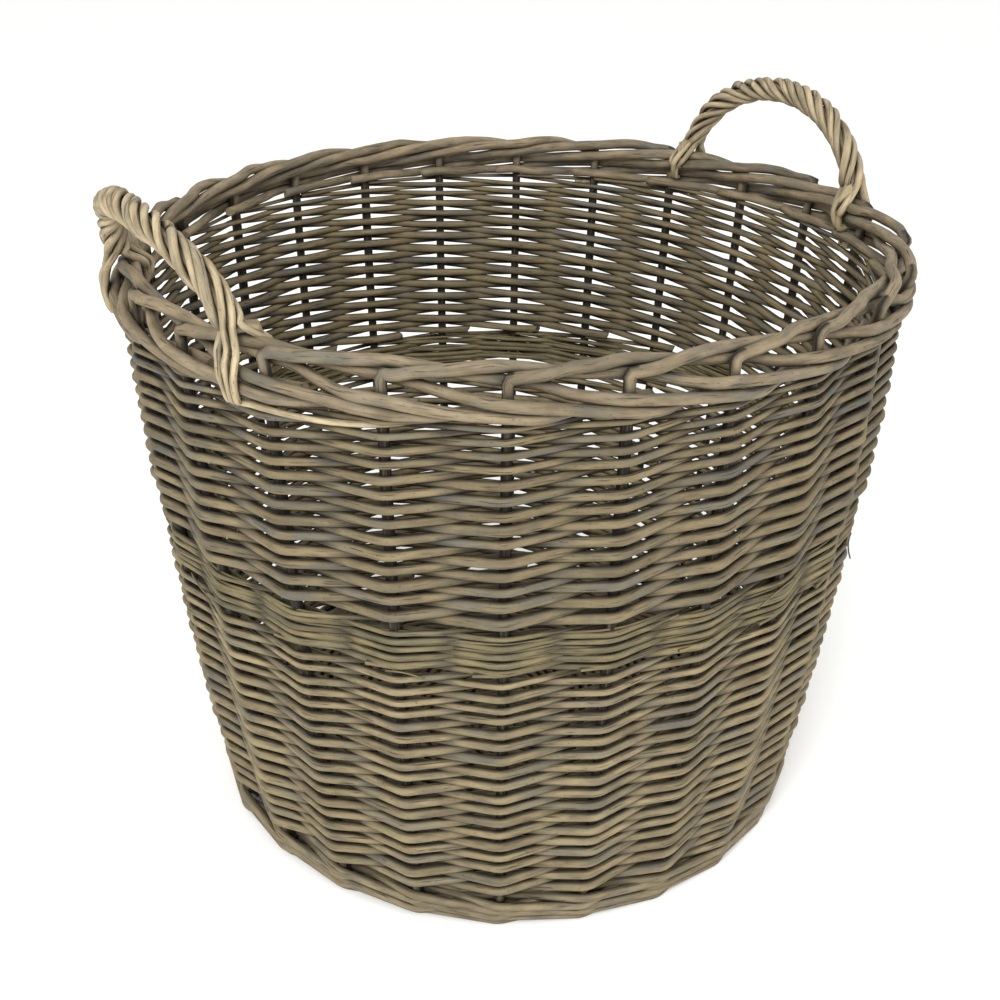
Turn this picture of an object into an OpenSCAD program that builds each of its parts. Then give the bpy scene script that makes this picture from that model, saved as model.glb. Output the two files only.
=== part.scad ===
// Round willow log basket with two roped handles.
// Millimetres, +Z up. Z = 0 is the floor under the foot wale, and the handles stand on the X axis.
// The rods that weave each band are drawn as one closed ring with the weave's true envelope.

/* [Body] */
// Width across the stakes at the border
rim_d = 500; // [460:5:540]
// Width across the stakes at the base
base_d = 420; // [400:5:440]
// Height at which the stakes turn down into the border
wall_h = 406; // [400:2:440]
// How far the wall bellies out at half its height
belly = 6.5; // [0:0.5:10]
// Share by which the rim is longer along the handles than a circle
rim_oval = 0.022; // [0:0.002:0.03]
// Share by which the rim is pushed out at three places, as hand work leaves it
rim_skew = 0.012; // [0:0.002:0.016]

/* [Willow] */
// Thickness of a stake
stake_d = 6.6; // [5.6:0.1:6.8]
// Thickness of a weaving rod
weaver_d = 5.6; // [4.6:0.1:6.0]
// Thickness of a base stick
stick_d = 10; // [8:0.5:10]
// Spacing of the rods in the border
border_step = 7.0; // [7.0:0.1:7.4]

/* [Bands] */
// Top of the foot wale
wale_top = 26; // [25:1:30]
// Top of the lower randing
lower_top = 216; // [180:2:230]
// Top of the band of thin tips
tips_top = 250; // [240:2:280]
// Space under the border, where the handle rods pass through the wall
border_gap = 5.4; // [5.4:0.1:7]

/* [Handles] */
// Half the width of the arch
arch_half = 83; // [70:1:90]
// Rise of the first handle above its springing line
rise_a = 70; // [60:1:90]
// Rise of the second handle above its springing line
rise_b = 65; // [60:1:90]
// How far the crown of the first handle leans out
lean_a = 7; // [0:1:17]
// How far the crown of the second handle leans out
lean_b = 17; // [0:1:17]
// Thickness of the bow inside the rope
bow_d = 8; // [6:0.5:9]
// Thickness of a rod in the rope
rope_rod_d = 5; // [4:0.1:5]
// Turns of the rope from foot to foot
rope_turns = 3; // [3:1:4]

/* [Hidden] */
STAKES = 24;
STICKS = 6;
ROPE_RODS = 6;
pitch = 360 / STAKES;
stake_r = stake_d / 2;
base_r = base_d / 2;

// Heights inside the base: the sticks' axis, and the woven disc above and below them
base_z = 12;
disc_t = 4.4;
disc_r = base_r - 11;
tail_r = base_r - 60;

// The border's lowest rod hangs this many steps below the kinks
border_drop = 2.62;
upper_top = wall_h - border_drop * border_step - stake_r - border_gap;

// Course of one border rod: pitches travelled, steps outwards, steps above the kink.
// It goes behind two stakes, in front of two, and ends behind the fifth.
BORDER = [
    [0, 0, -0.5], [0.04, 0, 0.05], [0.13, 0, 0.36], [0.27, 0, 0.56], [0.5, -0.12, 0.9],
    [0.75, -0.55, 1.0], [1, -0.97, 0.87], [1.5, -1.02, 0.42], [2, -1, -0.17], [2.25, -0.75, -0.45],
    [2.5, 0, -0.87], [2.75, 0.68, -1.2], [3, 1, -1.42], [3.5, 1.04, -1.9], [4, 1, -2.46],
    [4.25, 0.72, -2.62], [4.5, 0, -2.5], [4.75, -0.72, -2.36], [5, -1.02, -2.3], [5.25, -1.1, -2.3]
];

// Where the handle feet stand, and how far off the border's middle the rods pass it
spring_z = wall_h - 1;
rope_end = 66;
border_half = border_step + stake_r;
foot_a = asin((arch_half - 5) / (rim_d / 2 - border_half));

function label(k) = str(k < 9 ? "0" : "", k + 1);
function stake_name(k) = str("stake_", label(k));
function stick_name(k) = str("base_stick_", k + 1);
function rope_name(side, k) = str("handle_", side, "_rod_", k + 1);

// ---- the wall that everything follows ----

// Radius of the stake circle at height z and angle a: a straight flare with a slight belly,
// round at the base, with an oval and a slight three-sided lean that fade in towards the rim
function wall_t(z) = min(z / wall_h, 1);
function wall_r(z, a) = let (t = wall_t(z))
    (base_r + (rim_d - base_d) / 2 * t + 4 * belly * t * (1 - t))
    * (1 + rim_oval * t * cos(2 * a) + rim_skew * t * cos(3 * a + 136));
function on_wall(a, z, rho = 0) = let (r = wall_r(z, a) + rho) [r * cos(a), r * sin(a), z];
function stake_angle(k) = pitch * (k + 0.5);
function levels(z0, z1, steps) = [for (i = [0:steps]) z0 + (z1 - z0) * i / steps];

// ---- a rod: a tube carried along a path ----

function unit(v) = v / norm(v);
function across(n, t) = unit(n - (n * t) * t);
function tangent(p, i) =
    i == 0 ? unit(p[1] - p[0]) :
    i == len(p) - 1 ? unit(p[i] - p[i - 1]) :
    unit(unit(p[i] - p[i - 1]) + unit(p[i + 1] - p[i]));
function carry(p, i, n) = i >= len(p) ? [] :
    let (m = across(n, tangent(p, i))) concat([m], carry(p, i + 1, m));

function flip(list) = [for (i = [len(list) - 1:-1:0]) list[i]];

// r is one radius, or one for each point of the path
module rod(p, r, sides, n0) {
    side_n = carry(p, 0, n0);
    radii = is_list(r) ? r : [for (q = p) r];
    last = (len(p) - 1) * sides;
    points = [
        for (i = [0:len(p) - 1])
            let (n = side_n[i], b = cross(tangent(p, i), n))
                for (j = [0:sides - 1])
                    p[i] + radii[i] * (cos(j * 360 / sides) * n + sin(j * 360 / sides) * b)
    ];
    faces = [
        [for (j = [0:sides - 1]) j],
        [for (j = [sides - 1:-1:0]) last + j],
        for (i = [0:len(p) - 2])
            for (j = [0:sides - 1])
                let (a = i * sides + j, b = i * sides + (j + 1) % sides)
                    [a, a + sides, b + sides, b]
    ];
    polyhedron(points = points, faces = faces);
}

// ---- base ----

// Three sticks are pierced and three pass through them; all six open out into twelve spokes.
// which is the stick's place in its group: -1, 0 or 1
function stick_bend(which, x) = [x, which * (stick_d + 0.4), base_z];
function stick_end(which) = [(disc_r - 1) * cos(30 * which), (disc_r - 1) * sin(30 * which), base_z];
function other_way(p) = [-p[0], p[1], p[2]];
function stick_path(half) = concat([for (p = flip(half)) other_way(p)], half);

module pierced_stick(which) {
    half = [stick_bend(which, 2.2 * stick_d), stick_end(which)];
    difference() {
        rod(stick_path(half), stick_d / 2, 12, [0, 0, 1]);
        translate([0, 0, base_z])
            cube([3 * stick_d + 2.4, 5 * stick_d, 0.62 * stick_d], center = true);
    }
}

// Shaved thin where it passes through the other three
module passing_stick(which) {
    half = [
        stick_bend(which, 1.8 * stick_d),
        stick_bend(which, 2.2 * stick_d),
        stick_end(which)
    ];
    thin = 0.29 * stick_d;
    thick = stick_d / 2;
    rotate([0, 0, 90])
        rod(stick_path(half), [thick, thick, thin, thin, thick, thick], 12, [0, 0, 1]);
}

module base_stick(k) {
    color("#8d8068")
        if (k < 3)
            pierced_stick(k - 1);
        else
            passing_stick(k - 4);
}

// The weave runs over and under the spokes: a sheet above, a sheet below, joined between them
module base_weave() {
    low = base_z - stick_d / 2 - disc_t - 0.1;
    color("#7f745c") {
        translate([0, 0, low])
            cylinder(h = disc_t, r = disc_r, $fn = 96);
        translate([0, 0, base_z + stick_d / 2 + 0.1])
            cylinder(h = disc_t, r = disc_r, $fn = 96);
        for (k = [0:11])
            rotate([0, 0, 30 * k + 15])
                translate([60, -6, low + disc_t / 2])
                    cube([disc_r - 66, 12, stick_d + disc_t]);
    }
}

// Thick rods waled round the foot of the stakes; the lowest ones lie under the bend of the stakes
module foot_wale() {
    out = stake_r + weaver_d + 0.4;
    clear = stake_r + 0.4;
    floor_t = base_z - stake_r - 0.3;
    color("#84785f") {
        rotate_extrude($fn = 96)
            polygon([
                [disc_r + 0.6, 0], [base_r + out, 0],
                [wall_r(wale_top, 45) + out, wale_top], [wall_r(wale_top, 45) + clear, wale_top],
                [wall_r(floor_t, 45) + clear, floor_t], [disc_r + 0.6, floor_t]
            ]);
        rotate_extrude($fn = 96)
            polygon([
                [base_r - 8, base_z + 6], [base_r - 4.6, base_z + 6],
                [wall_r(wale_top, 45) - clear, wale_top], [base_r - 6, wale_top]
            ]);
        for (k = [0:STAKES - 1])
            rotate([0, 0, pitch * k])
                translate([base_r - 5, -7, base_z + 7])
                    cube([14, 14, wale_top - base_z - 7]);
    }
}

// ---- stakes ----

// A stake lies beside its base stick, bends up, stands in the wall and turns down into the border
module stake(k) {
    a = stake_angle(k);
    side = k % 2 == 0 ? 1 : -1;
    stick_a = a - side * pitch / 2;
    off = side * (stick_d / 2 + stake_r + 0.3);
    path = concat(
        [[tail_r * cos(stick_a) - off * sin(stick_a), tail_r * sin(stick_a) + off * cos(stick_a), base_z]],
        [[(base_r - 9) * cos(a), (base_r - 9) * sin(a), base_z]],
        [[(base_r - 2) * cos(a), (base_r - 2) * sin(a), base_z + 2.6]],
        [on_wall(a, base_z + 9)],
        [for (z = levels(wale_top, lower_top, 3)) on_wall(a, z)],
        [for (z = levels(tips_top, upper_top, 2)) on_wall(a, z)],
        [for (b = BORDER) on_wall(a + pitch * b[0], wall_h + b[2] * border_step, b[1] * border_step)]
    );
    color("#8a7d66") rod(path, stake_r, 6, [0, 0, 1]);
}

// ---- woven bands ----

// One closed ring round the stakes: it stands out a rod in front of and behind each stake,
// is one rod thick halfway between two, and has a hexagonal channel for every stake.
// Ten points for each stake and level: outer, six round the channel, inner, and two at mid-span.
function band_points(z, k, proud) = let (
        a = stake_angle(k),
        m = a + pitch / 2,
        half = proud / 2 + 0.4,
        mid_r = wall_r(z, m) * cos(pitch / 2),
        hole = 1.16 * stake_r + 0.1,
        c = on_wall(a, z),
        out = [cos(a), sin(a), 0],
        along = [-sin(a), cos(a), 0]
    ) concat(
        [on_wall(a, z, stake_r + proud)],
        [for (j = [0:5]) c + hole * (cos(60 * j) * out + sin(60 * j) * along)],
        [on_wall(a, z, -stake_r - proud)],
        [[(mid_r + half) * cos(m), (mid_r + half) * sin(m), z]],
        [[(mid_r - half) * cos(m), (mid_r - half) * sin(m), z]]
    );

// Cap between stake p and the next one n, counterclockwise from above
function cap(p, n) = [
    [p, p + 8, p + 2, p + 1],
    [n, n + 1, n + 6, p + 8],
    [p + 8, n + 6, n + 5, p + 9, p + 3, p + 2],
    [p + 7, p + 4, p + 3, p + 9],
    [n + 7, p + 9, n + 5, n + 4]
];

module band(zs, proud) {
    per = 10;
    ring = per * STAKES;
    top = ring * (len(zs) - 1);
    points = [for (z = zs) for (k = [0:STAKES - 1]) each band_points(z, k, proud)];
    outer = [[0, 8], [8, per]];
    inner = [[7, 9], [9, per + 7]];
    faces = [
        for (k = [0:STAKES - 1]) let (p = k * per, n = (k + 1) % STAKES * per) each concat(
            cap(p, n),
            [for (f = cap(top + p, top + n)) flip(f)]
        ),
        for (l = [0:len(zs) - 2]) for (k = [0:STAKES - 1])
            let (p = l * ring + k * per, n = l * ring + (k + 1) % STAKES * per) each [
                [p, p + ring, p + 8 + ring, p + 8],
                [p + 8, p + 8 + ring, n + ring, n],
                [p + 7, p + 9, p + 9 + ring, p + 7 + ring],
                [p + 9, n + 7, n + 7 + ring, p + 9 + ring],
                for (j = [0:5]) let (s = p + 1 + j, e = p + 1 + (j + 1) % 6) [s, e, e + ring, s + ring]
            ]
    ];
    polyhedron(points = points, faces = faces);
}

module lower_randing() {
    color("#7c705a") band(levels(wale_top + 0.2, lower_top, 3), weaver_d);
}

module tips_band() {
    color("#8b7f5e") band([lower_top + 0.2, tips_top - 0.2], weaver_d - 1);
}

module upper_randing() {
    color("#84785f") band(levels(tips_top, upper_top, 2), weaver_d - 0.4);
}

// ---- handles ----

// A handle is built on +X. $turn is the angle it is turned to afterwards, $rise its height above
// the springing line and $lean how far its crown leans out.
// This is the middle line of the rope at angle phi from the crown.
function rope(phi) = [
    wall_r(wall_h, $turn + foot_a * sin(phi)) * cos(foot_a) + 1.5 + $lean * pow(cos(phi), 2),
    arch_half * sin(phi),
    spring_z + $rise * cos(phi)
];
// A point at a foot: side is -1 or 1, along runs away from the arch's middle
function foot(side, along, z, rho) = let (
        a = side * (foot_a + along / rim_d * 115),
        r = wall_r(z, a + $turn) + rho
    ) [r * cos(a), r * sin(a), z];

// The bow thins to a point that is pressed between the border and the rods inside it
function bow_foot(side) = [
    foot(side, 0, wall_h - 2, -border_half - 2.2),
    foot(side, 0, wall_h + 8, -border_half - 2.6),
    foot(side, 0, wall_h + 19, -border_step)
];

module handle_bow() {
    arch = [for (i = [0:20]) rope(-rope_end + i * rope_end / 10)];
    path = concat(bow_foot(-1), arch, flip(bow_foot(1)));
    taper = [0.15, 0.24, 0.4];
    radii = bow_d * concat(taper, [for (p = arch) 0.5], flip(taper));
    color("#958869") rod(path, radii, 8, [1, 0, 0]);
}

// Point of the helix round the rope's middle line
function wound(phi, turn) = let (
        t = unit(rope(phi + 1) - rope(phi - 1)),
        out = across([1, 0, 0], t),
        up = cross(t, out),
        r = bow_d / 2 + rope_rod_d / 2 + 0.42
    ) rope(phi) + r * (sin(turn) * out - cos(turn) * up);

// Half of the rods straddle the border outside and hook in under it; the others go down inside
// and are tucked into the gap above the border's lowest rods
function slot_offset(slot) = slot * (rope_rod_d + 0.4);
function outer_foot(side, slot) = let (
        d = slot_offset(slot),
        rho = border_half + rope_rod_d / 2 + 0.6,
        under = upper_top + border_gap / 2
    ) [
    foot(side, d - 1.5, wall_h + 19, rho - 7.4 + (slot == 0 ? 2 : 0)),
    foot(side, d, wall_h + 9, rho - 5.9),
    foot(side, d, wall_h + 2, rho - 4.6),
    foot(side, d, wall_h - 8, rho - 1.1),
    foot(side, d, wall_h - 16, rho),
    foot(side, d, under + 1.7, rho - 1.2),
    foot(side, d, under, rho - 4.4),
    foot(side, d, under, -2)
];
function inner_foot(side, slot) = let (
        d = slot_offset(slot),
        rho = -border_half - rope_rod_d / 2 - 0.5,
        proud = slot == 0 ? 3.9 : 0
    ) [
    foot(side, 1.4 * d, wall_h + 18, rho + 2.6 - proud * 1.2),
    foot(side, d, wall_h + 8, rho + (slot == 0 ? -0.7 : 0.3) - proud),
    foot(side, d, wall_h, rho - proud * 0.9),
    foot(side, d, wall_h - 5.5, rho - proud * 0.45),
    foot(side, d, wall_h - 9.4, rho + 2),
    foot(side, d, wall_h - 10.2, rho + 6)
];

module rope_rod(k) {
    start = 60 * k + 30;
    slot = k < 3 ? 1 - k : k - 4;
    path = concat(
        flip(k < 3 ? outer_foot(-1, slot) : inner_foot(-1, slot)),
        [for (i = [0:30]) wound(-rope_end + i * rope_end / 15, start + rope_turns * 12 * i)],
        k < 3 ? outer_foot(1, slot) : inner_foot(1, slot)
    );
    color("#9b8f72") rod(path, rope_rod_d / 2, 5, [0, 1, 0]);
}

// ---- assembly ----

for (k = [0:STICKS - 1])
    base_stick(k);
base_weave();
foot_wale();
for (k = [0:STAKES - 1])
    stake(k);
lower_randing();
tips_band();
upper_randing();
module on_side(second)
    if (second)
        rotate([0, 0, 180]) let ($turn = 180, $lean = lean_b, $rise = rise_b) children();
    else
        let ($turn = 0, $lean = lean_a, $rise = rise_a) children();

on_side(false) handle_bow();  // handle_a_bow
on_side(true) handle_bow();  // handle_b_bow
for (k = [0:ROPE_RODS - 1]) {
    on_side(false) rope_rod(k);
    on_side(true) rope_rod(k);
}
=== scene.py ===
"""A round willow log basket: the looks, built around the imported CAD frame."""

import math

import bpy
import numpy as np
from mathutils import Matrix, Vector


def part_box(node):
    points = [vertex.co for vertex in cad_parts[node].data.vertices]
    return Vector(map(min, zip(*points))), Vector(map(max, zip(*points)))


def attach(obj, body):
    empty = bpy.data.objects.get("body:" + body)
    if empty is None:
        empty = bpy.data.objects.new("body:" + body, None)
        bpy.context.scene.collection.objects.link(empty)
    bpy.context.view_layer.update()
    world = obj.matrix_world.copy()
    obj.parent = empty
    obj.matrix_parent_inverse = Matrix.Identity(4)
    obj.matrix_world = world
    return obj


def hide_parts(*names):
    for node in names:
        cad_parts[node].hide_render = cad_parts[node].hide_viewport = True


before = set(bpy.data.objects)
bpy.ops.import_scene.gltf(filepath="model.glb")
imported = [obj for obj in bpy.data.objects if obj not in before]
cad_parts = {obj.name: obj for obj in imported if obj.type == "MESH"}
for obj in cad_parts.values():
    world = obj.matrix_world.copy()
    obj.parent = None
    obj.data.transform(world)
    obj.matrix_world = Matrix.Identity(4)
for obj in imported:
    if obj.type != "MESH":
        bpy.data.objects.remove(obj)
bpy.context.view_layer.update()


# ---- Stakes and border -------------------------------------------------------------------------
# 24 willow stakes stand in the wall. Each is one rod: its foot lies beside a base stick, it bends
# up at the edge of the base, and its top is turned down to plait the border with the others.
# Border: behind two stakes, in front of two, and cut off inside behind the fifth.

MM = 0.001
STAKES = 24
PITCH = 2 * math.pi / STAKES
RIM_R = 250 * MM
BASE_R = 210 * MM
BELLY = 6.5 * MM
OVAL = 0.022
SKEW = 0.012
SKEW_PHASE = math.radians(136)
STAKE_R = 3.3 * MM
BORDER_STEP = 7 * MM
BASE_Z = 12 * MM
TAIL_R = BASE_R - 60 * MM
STICK_R = 5 * MM
KNOT_EVERY = 31 * MM
SHARPEST_FOLD = 0.62
# Pitches travelled, steps outwards, steps above the kink. The first point is the sharp fold.
BORDER = np.array([
    [0, 0, 0.16], [0.1, 0.02, 0.4], [0.27, 0, 0.62], [0.5, -0.12, 0.92], [0.75, -0.55, 1.0],
    [1, -0.97, 0.87], [1.5, -1.02, 0.42], [2, -1, -0.17], [2.25, -0.75, -0.45], [2.5, 0, -0.87],
    [2.75, 0.68, -1.2], [3, 1, -1.42], [3.5, 1.04, -1.9], [4, 1, -2.46], [4.25, 0.72, -2.62],
    [4.5, 0, -2.5], [4.75, -0.72, -2.36], [5, -1.02, -2.3], [5.25, -1.1, -2.3],
])
# The highest point of a stake is the top of its border rod
KINK_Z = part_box("stake_01")[1][2] - STAKE_R - BORDER[:, 2].max() * BORDER_STEP


def wall_radius(z, a):
    """Radius of the stake circle at height z and angle a.

    A straight flare from base to kink plus a parabola for the belly, times an oval (the cosine of
    twice the angle) and a three-sided skew (the cosine of three times it) that fade in with height.
    """
    t = np.clip(z / KINK_Z, 0, 1)
    flare = BASE_R + (RIM_R - BASE_R) * t + 4 * BELLY * t * (1 - t)
    skew = SKEW * np.cos(3 * a + SKEW_PHASE)
    return flare * (1 + t * (OVAL * np.cos(2 * a) + skew))


def on_wall(a, z, out):
    """Point at angle a and height z, the distance out outside the stake circle."""
    r = wall_radius(z, a) + out
    return np.stack(np.broadcast_arrays(r * np.cos(a), r * np.sin(a), z), -1)


def unit(v):
    """Each vector divided by its length."""
    return v / np.linalg.norm(v, axis=-1, keepdims=True)


def smooth_line(points, per):
    """Catmull-Rom curve: between two points a cubic whose slope at each is half the step from the
    point before it to the point after it; per steps are taken between points."""
    p = np.concatenate([2 * points[:1] - points[1:2], points, 2 * points[-1:] - points[-2:-1]])
    t = np.arange(per)[:, None] / per
    a, b, c, d = p[:-3, None], p[1:-2, None], p[2:-1, None], p[3:, None]
    square = a - 2.5 * b + 2 * c - d / 2
    cube = 1.5 * (b - c) + (d - a) / 2
    body = b + t * (c - a) / 2 + t**2 * square + t**3 * cube
    return np.concatenate([body.reshape(-1, points.shape[1]), points[-1:]])


def rods(name, lines, radii, lean, sides, seed, slant=0.0, painted_recess_shade=0.0, in_weave=False):
    """Round willow rods as one closed mesh.

    lines is (rods, points, 3), each rod's middle line, and radii is (rods, points). A ring is its
    middle point plus radius * (cos p * n + sin p * b): n is the direction lean made square to the
    rod's run and b is square to both. At a fold the ring is stretched across the fold by one over
    the cosine of half its angle, as in a mitre, so the rod keeps its thickness; SHARPEST_FOLD is
    the least cosine used. Knots swell the radius a little, and slant leans the cut ends.

    Each point has six values for the bark: its place along and across the rod in metres, two tones
    of the rod's own, and how squarely it faces out of the wall; the less squarely, the more painted
    shade it gets. painted_recess_shade lessens that facing, for more painted shade, where a rod is
    deep in the weave, and below zero it raises it, for less painted shade, where a rod lies open.
    With in_weave, a side that faces the middle of the wall counts as facing nowhere and gets the
    full painted shade.
    """
    rng = np.random.default_rng(seed)
    count, steps = radii.shape
    leg = unit(np.diff(lines, axis=1))
    before = np.concatenate([leg[:, :1], leg], 1)
    after = np.concatenate([leg, leg[:, -1:]], 1)
    run = unit(before + after)
    half = np.linalg.norm(before + after, axis=-1, keepdims=True) / 2
    fold = (after - before) / np.maximum(np.linalg.norm(after - before, axis=-1, keepdims=True), 1e-9)
    n = unit(lean - (lean * run).sum(-1, keepdims=True) * run)
    b = np.cross(run, n)
    p = np.arange(sides) * 2 * math.pi / sides
    side = np.cos(p)[:, None] * n[:, :, None] + np.sin(p)[:, None] * b[:, :, None]
    length = np.linalg.norm(np.diff(lines, axis=1), axis=-1).cumsum(1)
    length = np.concatenate([np.zeros((count, 1)), length], 1)
    start = rng.uniform(0, 1, (count, 1))
    place = length + start
    swell = 1 + 0.035 * np.sin(place * 2 * math.pi / KNOT_EVERY) * np.sin(place * 173)
    oval = 1 + 0.04 * np.cos(2 * (p + 9 * length[..., None] + 6 * start[..., None]))
    r = (radii * swell)[..., None] * oval
    reach = r[..., None] * side
    mitre = (1 / np.maximum(half, SHARPEST_FOLD) - 1)[:, :, None]
    reach = reach + mitre * (reach * fold[:, :, None]).sum(-1, keepdims=True) * fold[:, :, None]
    co = lines[:, :, None] + reach
    for end, sign in ((0, 1), (-1, -1)):
        co[:, end] += sign * slant * (r[:, end] * np.cos(p + 5 * start))[..., None] * run[:, end, None]

    ring = np.arange(steps - 1)[:, None] * sides
    j = np.arange(sides)
    nxt = (j + 1) % sides
    quads = np.stack([ring + j, ring + nxt, ring + sides + nxt, ring + sides + j], -1).reshape(-1, 4)
    first = np.arange(count)[:, None, None] * steps * sides
    quads = (quads + first).reshape(-1, 4)
    caps = np.stack([j[::-1], (steps - 1) * sides + j]) + first
    caps = caps.reshape(-1, sides)
    mesh = bpy.data.meshes.new(name)
    mesh.from_pydata(co.reshape(-1, 3), [], quads.tolist() + caps.tolist())
    smooth = np.ones(len(mesh.polygons), bool)
    smooth[len(quads):] = False
    mesh.polygons.foreach_set("use_smooth", smooth)

    shift = rng.uniform(0, 30, (count, 1, 1, 3))
    along = np.broadcast_to(length[..., None], r.shape)
    bark = np.stack([along, r * np.cos(p), r * np.sin(p)], -1) + shift
    # Painted shade: how squarely each point faces out of the wall sets how dark it is painted
    facing = unit(lines * [1, 1, 0])[:, :, None]
    facing = (side * facing).sum(-1)
    if in_weave:
        middle = wall_radius(lines[..., 2], np.arctan2(lines[..., 1], lines[..., 0]))
        from_middle = np.hypot(lines[..., 0], lines[..., 1]) - middle
        proud = np.clip(from_middle / (1.3 * radii), -1, 1)[..., None]
        facing = np.clip(facing * proud, 0, 1) + (1 - np.abs(proud)) * np.abs(facing)
    # More painted shade where a rod is deep in the weave, less where it lies open
    painted_recess_shade = np.broadcast_to(painted_recess_shade, (count, steps))[..., None]
    facing = np.abs(facing) * (1 - np.maximum(painted_recess_shade, 0))
    facing += (1 - facing) * np.maximum(-painted_recess_shade, 0)
    tone = np.broadcast_to(rng.uniform(0, 1, (count, 1, 1)), r.shape)
    hue = np.broadcast_to(rng.uniform(0, 1, (count, 1, 1)), r.shape)
    for label, value in (("bark", bark), ("rod", np.stack([tone, hue, facing], -1))):
        mesh.attributes.new(label, "FLOAT_VECTOR", "POINT").data.foreach_set("vector", value.ravel())
    piece = bpy.data.objects.new(name, mesh)
    bpy.context.scene.collection.objects.link(piece)
    return piece


def to_linear(colour):
    """sRGB hex such as "8a7d66" to linear RGBA: each channel ((c + 0.055) / 1.055) ** 2.4, or
    c / 12.92 where it is dark."""
    c = [int(colour[i:i + 2], 16) / 255 for i in (0, 2, 4)]
    return [((x + 0.055) / 1.055) ** 2.4 if x > 0.04045 else x / 12.92 for x in c] + [1]


def add(tree, kind, feeds=None, **settings):
    """Adds a shader node; feeds gives its inputs a value, or a socket to link to."""
    node = tree.nodes.new("ShaderNode" + kind)
    for key, value in settings.items():
        setattr(node, key, value)
    for key, value in (feeds or {}).items():
        if isinstance(value, bpy.types.NodeSocket):
            tree.links.new(value, node.inputs[key])
        else:
            node.inputs[key].default_value = value
    return node


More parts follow.
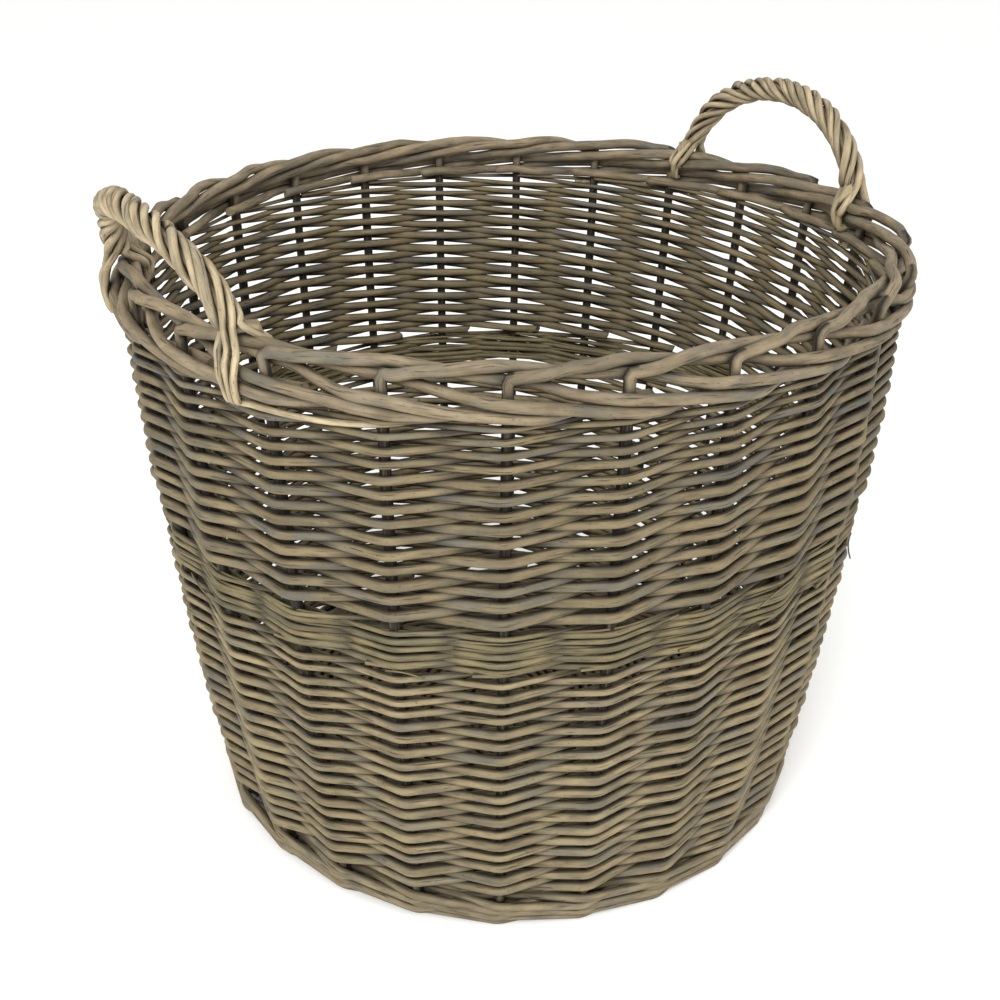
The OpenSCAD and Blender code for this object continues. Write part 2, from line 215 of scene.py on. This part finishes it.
def willow(name, tan, pale, grey, dark_stain_and_shade, greyness=0.45, side_wash_and_shade=0.6, occlusion_clear_from=0.74):
    """Peeled willow, antique-washed: tan wood with paler worn streaks, blue-grey weathering in
    patches, and a dark colour that is stained into the cracks and painted as shade where rods lie
    against each other. greyness is the share of weathering, side_wash_and_shade the share of that
    dark colour, washed in and painted as shade, on the sides that face along the wall, and a spot
    more open than occlusion_clear_from gets no painted occlusion shade. Every scale is a real
    length in metres, along and across the rod.
    """
    material = bpy.data.materials.new(name)
    material.use_nodes = True
    tree = material.node_tree
    shader = tree.nodes["Principled BSDF"]
    bark = add(tree, "Attribute", attribute_name="bark").outputs["Vector"]
    rod = add(tree, "Attribute", attribute_name="rod").outputs["Vector"]
    parts = add(tree, "SeparateXYZ", {"Vector": rod})

    def noise(along, across, detail, low, high):
        """Noise stretched along the rod, spread so that low to high becomes 0 to 1."""
        place = add(tree, "Mapping", {"Vector": bark, "Scale": (1 / along, 1 / across, 1 / across)})
        cloud = add(tree, "TexNoise", {"Vector": place.outputs[0], "Scale": 1.0, "Detail": detail})
        spread = add(tree, "MapRange", {"Value": cloud.outputs[0], "From Min": low, "From Max": high})
        return spread.outputs[0]

    def times(a, b):
        return add(tree, "Math", {0: a, 1: b}, operation="MULTIPLY").outputs[0]

    def mix(amount, a, b, blend="MIX"):
        feeds = {0: amount, 6: a, 7: b}
        return add(tree, "Mix", feeds, data_type="RGBA", blend_type=blend).outputs[2]

    blotch = noise(17 * MM, 5 * MM, 3.0, 0.36, 0.64)
    grain = noise(24 * MM, 1.3 * MM, 2.0, 0.34, 0.68)
    fibre = noise(9 * MM, 0.55 * MM, 3.0, 0.3, 0.72)
    weather = noise(38 * MM, 8 * MM, 3.0, 0.47, 0.62)
    crack = noise(20 * MM, 1.2 * MM, 2.0, 0.61, 0.7)
    speck = noise(2.2 * MM, 1.2 * MM, 1.0, 0.68, 0.75)

    wood = mix(blotch, to_linear(tan), to_linear(pale))
    wood = mix(times(grain, 0.45), wood, to_linear(pale))
    wood = mix(times(fibre, 0.3), wood, to_linear(tan))
    older = add(tree, "MapRange", {"Value": parts.outputs[1], "To Min": 0.4, "To Max": 1.3}).outputs[0]
    wood = mix(times(times(weather, older), greyness), wood, to_linear(grey))
    shade = {"Value": parts.outputs[0], "To Min": 0.82, "To Max": 1.14}
    shade = add(tree, "MapRange", shade).outputs[0]
    shade = add(tree, "CombineColor", {0: shade, 1: shade, 2: shade}).outputs[0]
    wood = mix(1.0, wood, shade, "MULTIPLY")
    # Painted shade, partly washed-in colour too, darkens the sides that face along the wall, where
    # rods lie against each other
    side_wash_shade_mask = {"Value": parts.outputs[2], "From Min": 0.12, "From Max": 0.6, "To Min": 1.0,
               "To Max": 0.0}
    side_wash_shade_mask = add(tree, "MapRange", side_wash_shade_mask).outputs[0]
    rubbed = add(tree, "MapRange", {"Value": grain, "To Min": 1.0, "To Max": 0.5}).outputs[0]
    wood = mix(times(times(side_wash_shade_mask, rubbed), side_wash_and_shade), wood, to_linear(dark_stain_and_shade))
    wood = mix(times(crack, 0.7), wood, to_linear(dark_stain_and_shade))
    wood = mix(times(speck, 0.5), wood, to_linear(dark_stain_and_shade))
    # Painted occlusion shade, partly washed-in colour too: the colour darkens, in patches, wherever
    # another rod lies within a few millimetres
    painted_occlusion_shade = add(tree, "AmbientOcclusion", {"Distance": 7 * MM}, samples=6).outputs["AO"]
    painted_occlusion_shade = {"Value": painted_occlusion_shade, "From Min": 0.22, "From Max": occlusion_clear_from, "To Min": 1.0, "To Max": 0.0}
    painted_occlusion_shade = add(tree, "MapRange", painted_occlusion_shade).outputs[0]
    patchy = add(tree, "MapRange", {"Value": blotch, "To Min": 1.0, "To Max": 0.7}).outputs[0]
    wood = mix(times(times(painted_occlusion_shade, patchy), 0.92), wood, to_linear(dark_stain_and_shade))

    height = add(tree, "Math", {0: times(fibre, 0.25), 1: times(crack, -0.9)}, operation="ADD")
    bump = {"Height": height.outputs[0], "Strength": 0.6, "Distance": 0.35 * MM}
    bump = add(tree, "Bump", bump)
    rough = add(tree, "MapRange", {"Value": fibre, "To Min": 0.78, "To Max": 0.6}).outputs[0]
    tree.links.new(wood, shader.inputs["Base Color"])
    tree.links.new(bump.outputs[0], shader.inputs["Normal"])
    tree.links.new(rough, shader.inputs["Roughness"])
    shader.inputs["Specular IOR Level"].default_value = 0.35
    return material


# The hand-made folds aren't even: steps outwards and steps up, by stake
FOLDS = {1: (0.3, 0.75), 13: (0.3, 0.5), 19: (0.5, 0), 20: (0.9, 0.1), 21: (1.1, 0.4),
         22: (0.9, 0.2), 23: (0.5, 0.9)}


def stake_line(k, rng):
    """Middle line of stake k: beside its base stick, out to the edge, up the wall to the fold, and
    round the border course."""
    a = PITCH * (k + 0.5)
    side = 1 if k % 2 == 0 else -1
    stick = a - side * PITCH / 2
    off = side * (STICK_R + STAKE_R + 0.3 * MM)
    tail = np.array([
        [TAIL_R * math.cos(stick) - off * math.sin(stick),
         TAIL_R * math.sin(stick) + off * math.cos(stick), BASE_Z],
        [(BASE_R - 9 * MM) * math.cos(a), (BASE_R - 9 * MM) * math.sin(a), BASE_Z],
        [(BASE_R - 2 * MM) * math.cos(a), (BASE_R - 2 * MM) * math.sin(a), BASE_Z + 2.6 * MM],
    ])
    z = np.concatenate([[BASE_Z + 9 * MM], np.linspace(26 * MM, KINK_Z - 22 * MM, 12)])
    up = smooth_line(np.concatenate([tail, on_wall(a, z, 0)]), 2)
    course = smooth_line(BORDER + rng.normal(0, 1, BORDER.shape) * [[0.006, 0.06, 0.07]], 5)
    proud, raised = FOLDS.get(k, (0, 0))
    near = np.clip(1 - course[:, 0] / 0.9, 0, 1)
    course[:, 1] += proud * near
    course[:, 2] += raised * near
    lift = np.array([-14, -7, -0.4]) * MM + raised * BORDER_STEP * np.array([0, 0.4, 1])
    stub = on_wall(a, KINK_Z + lift, proud * BORDER_STEP * np.array([0.1, 0.5, 1]))
    over = on_wall(a + PITCH * course[:, 0], KINK_Z + BORDER_STEP * course[:, 2],
                   BORDER_STEP * course[:, 1])
    over[0] = on_wall(a + 0.008 * PITCH, KINK_Z + 0.5 * MM + raised * BORDER_STEP, proud * BORDER_STEP)
    return np.concatenate([up, stub, over])


# The stakes take the most painted shade on their sides and beside other rods
stake_willow = willow("antique_washed_painted_shade_willow_stake", "625641", "8b7c62", "53544f", "17120b",
                      greyness=0.5, side_wash_and_shade=1.3, occlusion_clear_from=0.88)
FOLD_AT = 0.575
rng = np.random.default_rng(11)
for k in range(STAKES):
    name = f"stake_{k + 1:02d}"
    line = stake_line(k, rng)
    a = PITCH * (k + 0.5)
    out = np.array([math.cos(a), math.sin(a), 0])
    lean = unit(out - np.array([-math.sin(a), math.cos(a), 0]) + np.array([0, 0, 1]))
    travelled = np.linalg.norm(np.diff(line, axis=0), axis=1).cumsum()
    travelled = np.append(0, travelled) / travelled[-1]
    thick = np.interp(travelled, [0, 0.55, 0.62, 0.66, 1], [3.3, 3.4, 3.75, 3.7, 3.15]) * MM
    # Painted shade: a stake is darker where it stands deep in the wall among the weavers
    heights = [20 * MM, 30 * MM, KINK_Z - 26 * MM, KINK_Z - 12 * MM]
    stake_recess_shade = np.interp(line[:, 2], heights, [0.4, 0.9, 0.9, 0.3])
    # Past the fold the rod lies open on top of the border and gets less painted shade
    stake_recess_shade[travelled > FOLD_AT] = -0.5
    piece = rods("round_" + name, line[None], thick[None], lean, 12, seed=100 + k, slant=0.5,
                 painted_recess_shade=stake_recess_shade[None])
    piece.data.materials.append(stake_willow)
    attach(piece, "root")
    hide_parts(name)


# ---- Base --------------------------------------------------------------------------------------
# Six thick sticks cross in the middle, three through slits in the other three, and spread into
# twelve spokes. Two thin rods are twisted round them in one long spiral, one over and one under.

base_lo, base_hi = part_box("base_weave")
DISC_R = base_hi[0]
STICK_STEP = 10.4 * MM
stick_willow = willow("antique_washed_painted_shade_willow_stick", "5c513d", "766a53", "51504b", "1c160e")
for k in range(6):
    which = k % 3 - 1
    half = np.array([
        [8 * MM, which * STICK_STEP, BASE_Z], [22 * MM, which * STICK_STEP, BASE_Z],
        [(DISC_R - MM) * math.cos(math.radians(30 * which)),
         (DISC_R - MM) * math.sin(math.radians(30 * which)), BASE_Z],
    ])
    line = smooth_line(np.concatenate([half[::-1] * [-1, 1, 1], half]), 6)
    if k > 2:
        line = line[:, [1, 0, 2]] * [-1, 1, 1]
    # The three passing sticks are shaved thin where they go through the others
    thin = 2.9 * MM if k > 2 else STICK_R
    thick = np.interp(np.linalg.norm(line[:, :2], axis=1), [17 * MM, 22 * MM], [thin, STICK_R])
    # The base sticks lie open and get less painted shade
    stick = rods(f"round_base_stick_{k + 1}", line[None], thick[None], np.array([0, 0, 1.0]), 16,
                 seed=20 + k, slant=0.3, painted_recess_shade=-0.5)
    stick.data.materials.append(stick_willow)
    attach(stick, "root")
    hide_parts(f"base_stick_{k + 1}")

PAIR_R = 2.3 * MM
PAIR_STEP = 8.2 * MM
PAIR_FROM = 27 * MM
turns = (DISC_R - PAIR_R - PAIR_FROM) / PAIR_STEP
angle = np.arange(0, turns * 2 * math.pi, math.radians(5))
lines = []
for half in (0, math.pi):
    twist = 6 * angle + half
    r = PAIR_FROM + PAIR_STEP * angle / (2 * math.pi) + 0.25 * PAIR_STEP * np.sin(twist)
    z = (base_lo[2] + base_hi[2]) / 2 + (STICK_R + PAIR_R) * np.cos(twist)
    lines.append(np.stack([r * np.cos(angle), r * np.sin(angle), z], -1))
lines = np.stack(lines)
# The pairing lies open and gets less painted shade
pair = rods("base_pairing", lines, np.full(lines.shape[:2], PAIR_R), np.array([0, 0, 1.0]), 8,
            seed=7, painted_recess_shade=-0.5)
base_willow = willow("antique_washed_painted_shade_willow_base", "5f5341", "7a6e56", "55534c", "1c160e")
pair.data.materials.append(base_willow)
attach(pair, "root")
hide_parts("base_weave")


# ---- Foot wale ---------------------------------------------------------------------------------
# Two rounds of three thick rods on the bend of the stakes, begun with their tips half a round
# earlier. Each rod goes in front of two stakes and behind one, and lies above the stroke before it.
# The basket stands on it.

foot_lo, foot_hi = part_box("foot_wale")
WALE_R = 2.9 * MM


def woven(nodes, radii, soften):
    """Rods bent round the stakes: straight from one node to the next, with each corner rounded by
    averaging the line over soften of a pitch to each side.

    nodes is (rods, stakes passed, 3) and radii (rods, stakes passed). Eight points lie in a pitch,
    closest together at the corners.
    """
    passed = nodes.shape[1] - 1
    step = np.array([0, 0.06, 0.14, 0.3, 0.5, 0.7, 0.86, 0.94])
    u = np.append((np.arange(passed)[:, None] + step).ravel(), passed)

    def along(values, at):
        at = np.clip(at, 0, passed - 1e-6)
        low = at.astype(int)
        f = (at - low)[:, None]
        return values[:, low] * (1 - f) + values[:, low + 1] * f

    line = np.mean([along(nodes, u + soften * d) for d in (-1, -0.5, 0, 0.5, 1)], axis=0)
    return line, along(radii[..., None], u)[..., 0]


passes = np.arange(-13, 2 * STAKES + 3)
thick = np.interp(passes, [-13, -2], [1.2 * MM, WALE_R])
climb = (foot_hi[2] - 4.1 * WALE_R) * np.clip(passes / (2 * STAKES), -1, 1)
low = foot_lo[2] + np.maximum(2.05 * thick, 2.05 * WALE_R + climb)
rng = np.random.default_rng(31)
nodes = []
for k in range(3):
    stage = (passes + k) % 3
    behind = stage == 0
    a = PITCH * (passes + 0.5)
    out = np.where(behind, -1, 1) * (STAKE_R + thick)
    z = low + np.choose(stage, [0.0, 1.0, -1.0]) * thick
    uneven = rng.normal(0, 0.2, (len(passes), 3)) * thick[:, None]
    nodes.append(on_wall(a, z, out) + uneven)
lines, radii = woven(np.stack(nodes), np.stack([thick] * 3), 0.07)
wale = rods("foot_waling", lines, radii, np.array([0, 0, 1.0]), 10, seed=32, slant=0.6,
            in_weave=True)
# A thinner pair goes on from the base round the bend of the stakes and closes it to the wall
angle = turns * 2 * math.pi + np.arange(0, 6 * math.pi, math.radians(2.5))
lines = []
for half in (0.5, 1.5):
    twist = STAKES / 2 * angle + half * math.pi
    gap = wall_radius(BASE_Z + 9 * MM, angle) - 8 * MM - DISC_R
    done = (angle - angle[0]) / (angle[-1] - angle[0])
    r = DISC_R - PAIR_R + (gap + PAIR_R) * done
    z = BASE_Z + 4 * MM * done + 5.6 * MM * np.cos(twist)
    lines.append(np.stack([r * np.cos(angle), r * np.sin(angle), z], -1))
lines = np.stack(lines)
# The foot pairing lies open and gets less painted shade
inner = rods("foot_pairing", lines, np.full(lines.shape[:2], PAIR_R), np.array([0, 0, 1.0]), 8,
             seed=33, painted_recess_shade=-0.4)
wale_willow = willow("antique_washed_painted_shade_willow_wale", "615640", "85785c", "535552", "17120b")
for piece in (wale, inner):
    piece.data.materials.append(wale_willow)
    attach(piece, "root")
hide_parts("foot_wale")


# ---- Lower randing -----------------------------------------------------------------------------
# French randing: 24 tapering rods, one begun behind each stake. Every rod goes in front of the
# next stake and behind the one after, and climbs one row at each, so the rows stay level.

def randing(z_from, z_to, rows, butt_r, tip_r, seed, first=-1, lead=0.3, soften=0.07, rough=0.4):
    """The middle lines and radii of one set of randing.

    Rod j passes stake j + m as row m. A rod's radius falls from butt_r to tip_r with the cube of
    the share of its run, and the rows stack at each stake by their own thickness, scaled to fill
    z_from to z_to. first is the side of its first pass, -1 inside; rough is in millimetres.
    """
    rng = np.random.default_rng(seed)
    m = np.arange(rows)
    share = (m / (rows - 1)) ** 3
    size = 1 + 0.07 * rng.normal(0, 1, (STAKES, 1)).clip(-1.6, 1.6)
    r = size * (butt_r + (tip_r - butt_r) * share) * rng.uniform(0.95, 1.05, (STAKES, rows))
    at = (np.arange(STAKES)[:, None] + m) % STAKES
    stacked = np.zeros((STAKES, rows))
    stacked[at, m] = r + 0.14 * butt_r * share
    top = stacked.cumsum(1)
    height = z_from + (z_to - z_from) * (top - stacked / 2) / top[:, -1:]
    z = height[at, m] + rng.normal(0, rough * MM, r.shape)
    out = np.where(m % 2, -first, first) * (STAKE_R + r + 0.3 * MM * rng.uniform(0, 1, r.shape))
    a = PITCH * (np.arange(STAKES)[:, None] + m + 0.5)
    nodes = on_wall(a, z, out)
    # The butt rests against the inside of its first stake
    start = on_wall(a[:, :1] - lead * PITCH, z[:, :1], out[:, :1])
    nodes = np.concatenate([start, nodes], 1)
    r = np.concatenate([r[:, :1], r], 1)
    return woven(nodes, r, soften)


lower_lo, lower_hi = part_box("lower_randing")
lines, radii = randing(lower_lo[2] - 1 * MM, lower_hi[2] + 3 * MM, 37, 3.1 * MM, 2.1 * MM, seed=41)
lower = rods("lower_weavers", lines, radii, np.array([0, 0, 1.0]), 10, seed=42, slant=0.7,
             in_weave=True)
lower_willow = willow("antique_washed_painted_shade_willow_lower", "635740", "8b7d5c", "535654", "17120b",
                      side_wash_and_shade=0.85)
lower.data.materials.append(lower_willow)
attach(lower, "root")
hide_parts("lower_randing")


# ---- Tips band ---------------------------------------------------------------------------------
# Where the lower rods run out: thin, pale tips crowded together, with a few loose ends.

tips_lo, tips_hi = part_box("tips_band")
low, high = tips_lo[2] + 2 * MM, tips_hi[2] - 1 * MM
sets = [
    randing(low, high, 11, 2.2 * MM, 1.5 * MM, seed=51, soften=0.1, rough=1.0),
    randing(low + 2 * MM, high, 12, 1.2 * MM, 0.8 * MM, seed=52, first=1, soften=0.2, rough=1.3),
    randing(low, high + 1 * MM, 9, 1.1 * MM, 0.6 * MM, seed=54, soften=0.22, rough=1.6),
]
# Loose ends that stand a little off the wall
rng = np.random.default_rng(55)
loose = 16
share = np.linspace(0, 1, 6)
a = rng.uniform(0, 2 * math.pi, loose)[:, None]
a = a + share * rng.uniform(0.2, 0.9, loose)[:, None] * PITCH
rise = share * rng.uniform(-9, 12, loose)[:, None] * MM
z = rng.uniform(low, high, loose)[:, None] + rise
out = (6 + np.linspace(-3, 1, 6) ** 2 * rng.uniform(-0.3, 0.6, loose)[:, None]) * MM
wisps = rods("tips_loose_ends", on_wall(a, z, out), np.full(z.shape, 0.55 * MM),
             np.array([0, 0, 1.0]), 6, seed=56)
tips_willow = willow("antique_washed_painted_shade_willow_tips", "584e36", "7c704f", "4f5248", "17120b",
                     greyness=0.35, side_wash_and_shade=0.8)
tips = []
for i, (lines, radii) in enumerate(sets):
    tips.append(rods(f"tips_weavers_{i + 1}", lines, radii, np.array([0, 0, 1.0]), 8,
                     seed=57 + i, in_weave=True))
for piece in tips + [wisps]:
    piece.data.materials.append(tips_willow)
    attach(piece, "root")
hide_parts("tips_band")


# ---- Upper randing -----------------------------------------------------------------------------
# A second set of 24 rods on top, whose cut butts show inside and whose tips end under the border.

upper_lo, upper_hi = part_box("upper_randing")
lines, radii = randing(upper_lo[2], upper_hi[2] + 7.5 * MM, 29, 3.15 * MM, 1.5 * MM, seed=61,
                       lead=0.35)
upper = rods("upper_weavers", lines, radii, np.array([0, 0, 1.0]), 10, seed=62, slant=0.7,
             in_weave=True)
upper_willow = willow("antique_washed_painted_shade_willow_upper", "5a4f39", "7d6f51", "4c504f", "17120b",
                      greyness=0.5, side_wash_and_shade=0.85)
upper.data.materials.append(upper_willow)
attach(upper, "root")
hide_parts("upper_randing")


# ---- Handles -----------------------------------------------------------------------------------
# Two roped handles. A bow stands beside the border, and six thin rods are twisted round it. At
# each foot three of them straddle the border and hook in under it, and three go down inside.

ARCH_HALF = 83 * MM
SPRING_Z = KINK_Z - 1 * MM
ROPE_END = math.radians(76)
ROPE_TURNS = 3
BOW_R = 4 * MM
ROPE_R = 2.6 * MM
BORDER_HALF = BORDER_STEP + 3.3 * MM
FOOT_A = math.asin((ARCH_HALF - 5 * MM) / (RIM_R - BORDER_HALF))
UNDER_Z = upper_hi[2] + 2.7 * MM
LEG_STEP = 5.4
HANDLE_AXIS = np.array([1.0, 0, 0])
# Angle taken by a run of one rim diameter along the border
DIAMETER_TURN = math.radians(115)


def rope_middle(phi, rise, lean, at):
    """Middle of the rope at angle phi from the crown: half an ellipse above the wall, leaning out by
    the square of the cosine. at is the angle the handle will be turned to."""
    x = wall_radius(KINK_Z, at + FOOT_A * np.sin(phi)) * math.cos(FOOT_A) + 1.5 * MM
    return np.stack([x + lean * np.cos(phi) ** 2, ARCH_HALF * np.sin(phi),
                     SPRING_Z + rise * np.cos(phi)], -1)


def wound(phi, rise, lean, at, turn, slack):
    """A helix: the rope's middle plus a circle in the plane square to its run."""
    run = unit(rope_middle(phi + 0.01, rise, lean, at) - rope_middle(phi - 0.01, rise, lean, at))
    out = unit(HANDLE_AXIS - (HANDLE_AXIS * run).sum(-1, keepdims=True) * run)
    up = np.cross(run, out)
    r = (BOW_R + ROPE_R - 0.2 * MM + slack)[:, None]
    turned = np.sin(turn)[:, None] * out - np.cos(turn)[:, None] * up
    return rope_middle(phi, rise, lean, at) + r * turned


def foot(side, at, points):
    """Points at a foot from rows of millimetres: away from the arch's middle, above the kinks, and
    outwards."""
    along, up, out = np.array(points).T * MM
    a = side * (FOOT_A + along / (2 * RIM_R) * DIAMETER_TURN)
    r = wall_radius(KINK_Z + up, a + at) + out
    return np.stack([r * np.cos(a), r * np.sin(a), KINK_Z + up], -1)


def rope_leg(k, side):
    """Course of rod k at a foot. Rods 0 to 2 straddle the border outside and hook in under it; rods
    3 to 5 go down inside and are tucked in above the border's lowest rods."""
    slot = 1 - k if k < 3 else k - 4
    d = slot * LEG_STEP
    under = (UNDER_Z - KINK_Z) / MM
    if k < 3:
        leg = [(1.1 * d - 1.5, 5, 9.2), (1.0 * d - 1, -2, 11.2 + (1.5 if slot == 0 else 0)),
               (0.85 * d - 0.5, -9, 12.9), (0.7 * d, -15, 12.8), (0.62 * d, under + 1.4, 11.4),
               (0.62 * d, under - 0.6, 8.6), (0.62 * d, under - 0.4, -2)]
        if side > 0 and slot > -1:
            # Its tip runs on along the top row and ends behind the second stake
            leg[-1:] = [(d + 5, under - 1, 7), (d + 18, under - 2, 6.4), (d + 44, under - 2.2, 6.6),
                        (d + 72, under - 1.6, 4), (d + 90, under - 1, -3)]
    else:
        proud = 3.9 if slot == 0 else 0
        cross = -4 * slot
        leg = [(1.0 * d + 4.5, 5, -12 - proud), (d + 5.5 + cross, -0.5, -13.1 - 0.9 * proud),
               (d + 6 + cross, -5.5, -13.1 - 0.45 * proud), (d + 6 + cross, -9.4, -11.3),
               (d + 6 + cross, -10.2, -7.3)]
    return leg


def rope_line(k, rise, lean, at, rng):
    """One of the six rods: foot, helix, foot. The twist is slack at the feet and steep at the crown:
    the turn grows with the share s of the run less part of a sine of a full turn of s. Each rod also
    wanders a little about its even course, and thins from its butt to its tip."""
    s = np.arange(37) / 36
    eased = s - 0.3 * np.sin(2 * math.pi * s) / (2 * math.pi)
    turn = math.radians(60 * k + 30) + 2 * math.pi * ROPE_TURNS * eased
    turn += 0.17 * np.sin(2 * math.pi * (rng.uniform(1, 2) * s + rng.uniform()))
    slack = 0.5 * MM * np.sin(2 * math.pi * (rng.uniform(1.5, 3) * s + rng.uniform()))
    helix = wound((2 * s - 1) * ROPE_END, rise, lean, at, turn, slack)
    start = foot(-1, at, rope_leg(k, -1))[::-1]
    end = foot(1, at, rope_leg(k, 1))
    line = smooth_line(np.concatenate([start, helix, end]), 4)
    share = np.arange(len(line)) / (len(line) - 1)
    butt, tip = (2.9, 2.0) if k % 2 or k == 0 else (2.1, 2.9)
    ends = [butt, butt, tip, min(tip, 2.1), min(tip, 1.3)]
    return line, np.interp(share, [0, 0.1, 0.8, 0.92, 1], ends) * MM


# The handles get no painted shade on their sides, but the occlusion darkening paints dark lines of
# shade between the twisted rods
handle_willow = willow("antique_washed_painted_shade_willow_handle", "776950", "baa987", "6f6e66", "1a140b",
                       greyness=0.3, side_wash_and_shade=0.0, occlusion_clear_from=0.9)
# Each handle's rise and lean at the crown, and the side it stands on
HANDLES = [("handle_a", 71 * MM, 7 * MM, 0.0), ("handle_b", 64 * MM, 21 * MM, math.pi)]
rng = np.random.default_rng(79)
for name, rise, lean, at in HANDLES:
    turned = np.array([math.cos(at), math.cos(at), 1])
    leg = [(2, -2, -12.5), (3, 8, -12.2), (4, 15, -7)]
    arch = rope_middle(np.linspace(-ROPE_END, ROPE_END, 41), rise, lean, at)
    line = np.concatenate([foot(-1, at, leg), arch, foot(1, at, leg)[::-1]]) * turned
    taper = [1.2 * MM, 1.9 * MM, 3.2 * MM]
    thick = np.array(taper + [BOW_R] * len(arch) + taper[::-1])
    bow = rods(name + "_core", line[None], thick[None], HANDLE_AXIS, 12, seed=71)
    bow.data.materials.append(handle_willow)
    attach(bow, "root")
    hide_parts(name + "_bow")
    for k in range(6):
        line, thick = rope_line(k, rise, lean, at, rng)
        rod = rods(f"{name}_twist_{k + 1}", (line * turned)[None], thick[None],
                   np.array([0.3, 1.0, 0.2]), 12, seed=80 + k, slant=0.4)
        rod.data.materials.append(handle_willow)
        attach(rod, "root")
        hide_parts(f"{name}_rod_{k + 1}")


# ---- Stage -------------------------------------------------------------------------------------
# A pale floor, a white room, one large soft key lamp above and in front of the basket and a weak
# fill lamp to its right. The camera looks down into the mouth.

def plain(name, colour, rough):
    """A matt painted surface."""
    material = bpy.data.materials.new(name)
    material.use_nodes = True
    shader = material.node_tree.nodes["Principled BSDF"]
    shader.inputs["Base Color"].default_value = to_linear(colour)
    shader.inputs["Roughness"].default_value = rough
    return material


FLOOR_HALF = 6.0
floor_mesh = bpy.data.meshes.new("floor")
corners = [(x * FLOOR_HALF, y * FLOOR_HALF, 0) for x, y in ((-1, -1), (1, -1), (1, 1), (-1, 1))]
floor_mesh.from_pydata(corners, [], [(0, 1, 2, 3)])
floor = bpy.data.objects.new("floor", floor_mesh)
bpy.context.scene.collection.objects.link(floor)
floor.data.materials.append(plain("pale_floor", "fcfcfa", 0.8))

world = bpy.data.worlds.new("white_room")
bpy.context.scene.world = world
world.use_nodes = True
world.node_tree.nodes["Background"].inputs["Color"].default_value = (1, 1, 1, 1)
world.node_tree.nodes["Background"].inputs["Strength"].default_value = 1.0
bpy.context.scene.view_settings.view_transform = "Standard"

AZIMUTH = math.radians(-36.75)
ELEVATION = math.radians(28)
ROLL = 0.01468
DISTANCE = 1.009
AIM = (-6.5 * MM, 0, 206.8 * MM)
FOCAL_LENGTH = 49.228
SENSOR_WIDTH = 36
turn = Matrix.Rotation(AZIMUTH, 3, "Z")


def lamp(name, place, size, power):
    """A square soft lamp aimed at the middle of the basket; place is seen from the camera's side."""
    light = bpy.data.lights.new(name, "AREA")
    light.size = size
    light.energy = power
    obj = bpy.data.objects.new(name, light)
    obj.location = turn @ Vector(place)
    obj.rotation_euler = (obj.location - Vector((0, 0, 0.2))).to_track_quat("Z", "Y").to_euler()
    bpy.context.scene.collection.objects.link(obj)


lamp("key_lamp", (-0.5, -1.9, 1.7), 0.9, 45)
lamp("fill_lamp", (1.6, -1.0, 1.2), 1.6, 8)

back = turn @ Vector((0, -math.cos(ELEVATION), math.sin(ELEVATION)))
aim = turn @ Vector(AIM)
level = turn @ Vector((1, 0, 0))
upright = back.cross(level)
right = math.cos(ROLL) * level + math.sin(ROLL) * upright
camera = bpy.data.objects.new("camera", bpy.data.cameras.new("camera"))
camera.data.sensor_width = SENSOR_WIDTH
camera.data.lens = FOCAL_LENGTH
facing = Matrix((right, back.cross(right), back)).transposed()
camera.matrix_world = Matrix.Translation(aim + DISTANCE * back) @ facing.to_4x4()
bpy.context.scene.collection.objects.link(camera)
bpy.context.scene.camera = camera
